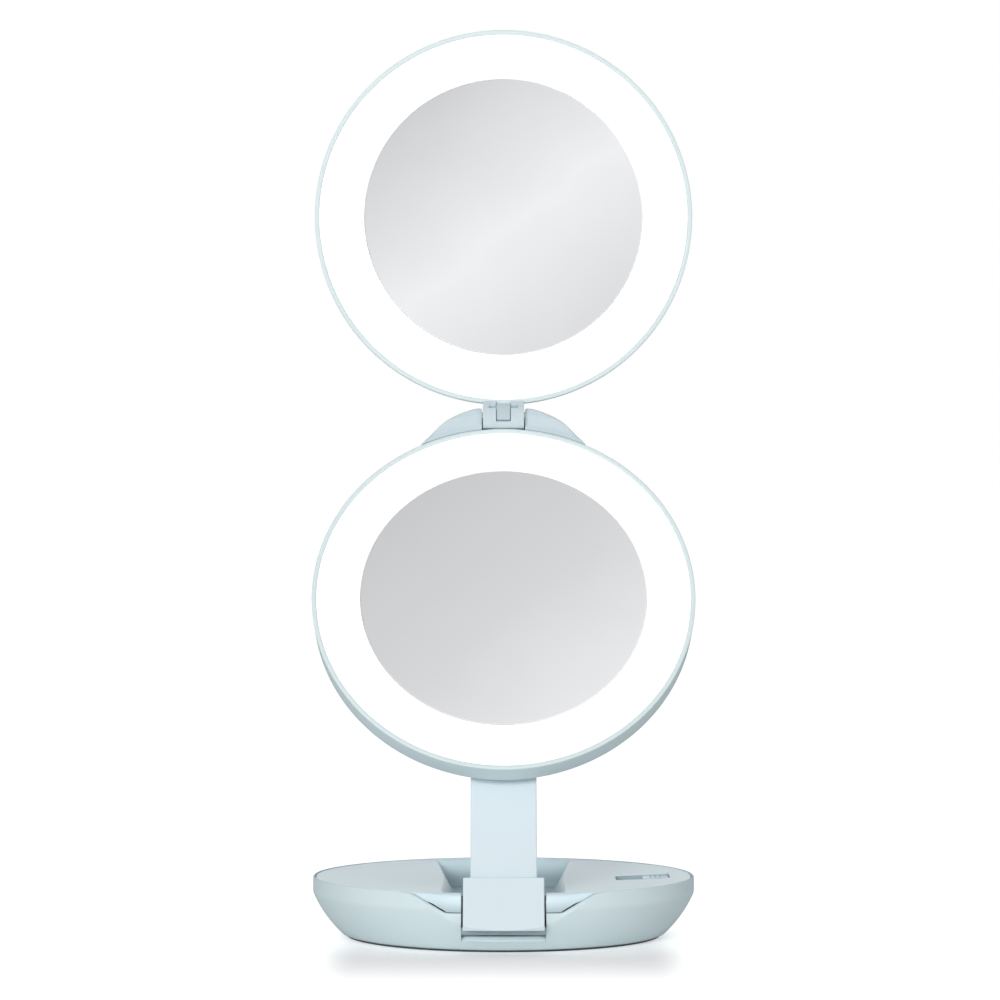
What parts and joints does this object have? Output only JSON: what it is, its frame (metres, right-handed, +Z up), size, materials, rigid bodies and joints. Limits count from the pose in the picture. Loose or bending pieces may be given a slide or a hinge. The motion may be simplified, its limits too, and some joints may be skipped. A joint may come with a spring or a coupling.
{
  "type": "lighted compact mirror",
  "caption": "Round base with a leaning telescopic strap that carries a round mirror in a ring of light; a second lit mirror folds up from its top edge and the whole closes flat.",
  "frame": {"origin": "bottom centre of the round base, on the table", "axes": "+Z up, the mirrors and the switch face -Y, +X to the viewer's right"},
  "size_m": [0.1292, 0.1278, 0.3073],
  "materials": {
    "shell": "glossy pale sea-green moulded plastic",
    "deck": "satin pale sea-green moulded plastic",
    "lip": "glossy pale plastic",
    "diffuser": "milky translucent, lit from behind",
    "mirror": "silvered glass",
    "foot": "soft matt",
    "foam": "foam tape",
    "steel": "plain steel",
    "white_plastic": "matt white",
    "board": "green lacquered board",
    "led": "light chips",
    "switch_case": "folded sheet",
    "cell": "plain sleeve"
  },
  "bodies": {
    "base": {"base_shell": "shell", "foot_ring": "foot", "deck": "deck", "switch_tray": "deck", "switch_body": "switch_case", "control_board": "board", "battery_cells": "cell", "battery_contacts": "steel", "stand_hinge_pin": "steel", "hinge_washers": "white_plastic", "base_screws": "steel"},
    "door": {"battery_door": "shell"},
    "knob": {"switch_knob": "deck"},
    "stand": {"hinge_block": "shell", "block_cover": "shell", "stand_strap": "shell", "strap_stop": "steel"},
    "lower_mirror": {"lower_case": "shell", "lower_lip_ring": "lip", "lower_diffuser": "diffuser", "lower_reflector": "white_plastic", "lower_led_board": "board", "lower_leds": "led", "lower_glass": "mirror", "lower_glass_pad": "foam", "strap_guide": "shell", "guide_screws": "steel", "hinge_bracket": "shell", "mirror_hinge_pin": "steel"},
    "upper_mirror": {"upper_case": "shell", "upper_lip_ring": "lip", "upper_diffuser": "diffuser", "upper_reflector": "white_plastic", "upper_led_board": "board", "upper_leds": "led", "upper_glass": "mirror", "upper_glass_pad": "foam", "hinge_barrel": "shell", "hinge_tongue": "lip"}
  },
  "joints": [
    {"name": "arm_fold", "type": "hinge", "parent": "base", "child": "stand", "pos_m": [0, -0.0555, 0.014], "axis": [-1, 0, 0], "range_deg": [-14, 61]},
    {"name": "height_slide", "type": "slide", "parent": "stand", "child": "lower_mirror", "axis": [0, 0.4848, 0.8746], "range_m": [-0.0504, 0.0116]},
    {"name": "upper_fold", "type": "hinge", "parent": "lower_mirror", "child": "upper_mirror", "pos_m": [0, 0.01413, 0.17469], "axis": [1, 0, 0], "range_deg": [-24.5, 155.5]},
    {"name": "switch_slide", "type": "slide", "parent": "base", "child": "knob", "axis": [-1, 0, 0], "range_m": [0, 0.009]},
    {"name": "battery_door", "type": "hinge", "parent": "base", "child": "door", "pos_m": [-0.01945, 0, 0.002], "axis": [0, -1, 0], "range_deg": [0, 100]}
  ],
  "couplings": [
    {"joint": "height_slide", "follows": "arm_fold", "m_per_rad": -0.047246}
  ]
}
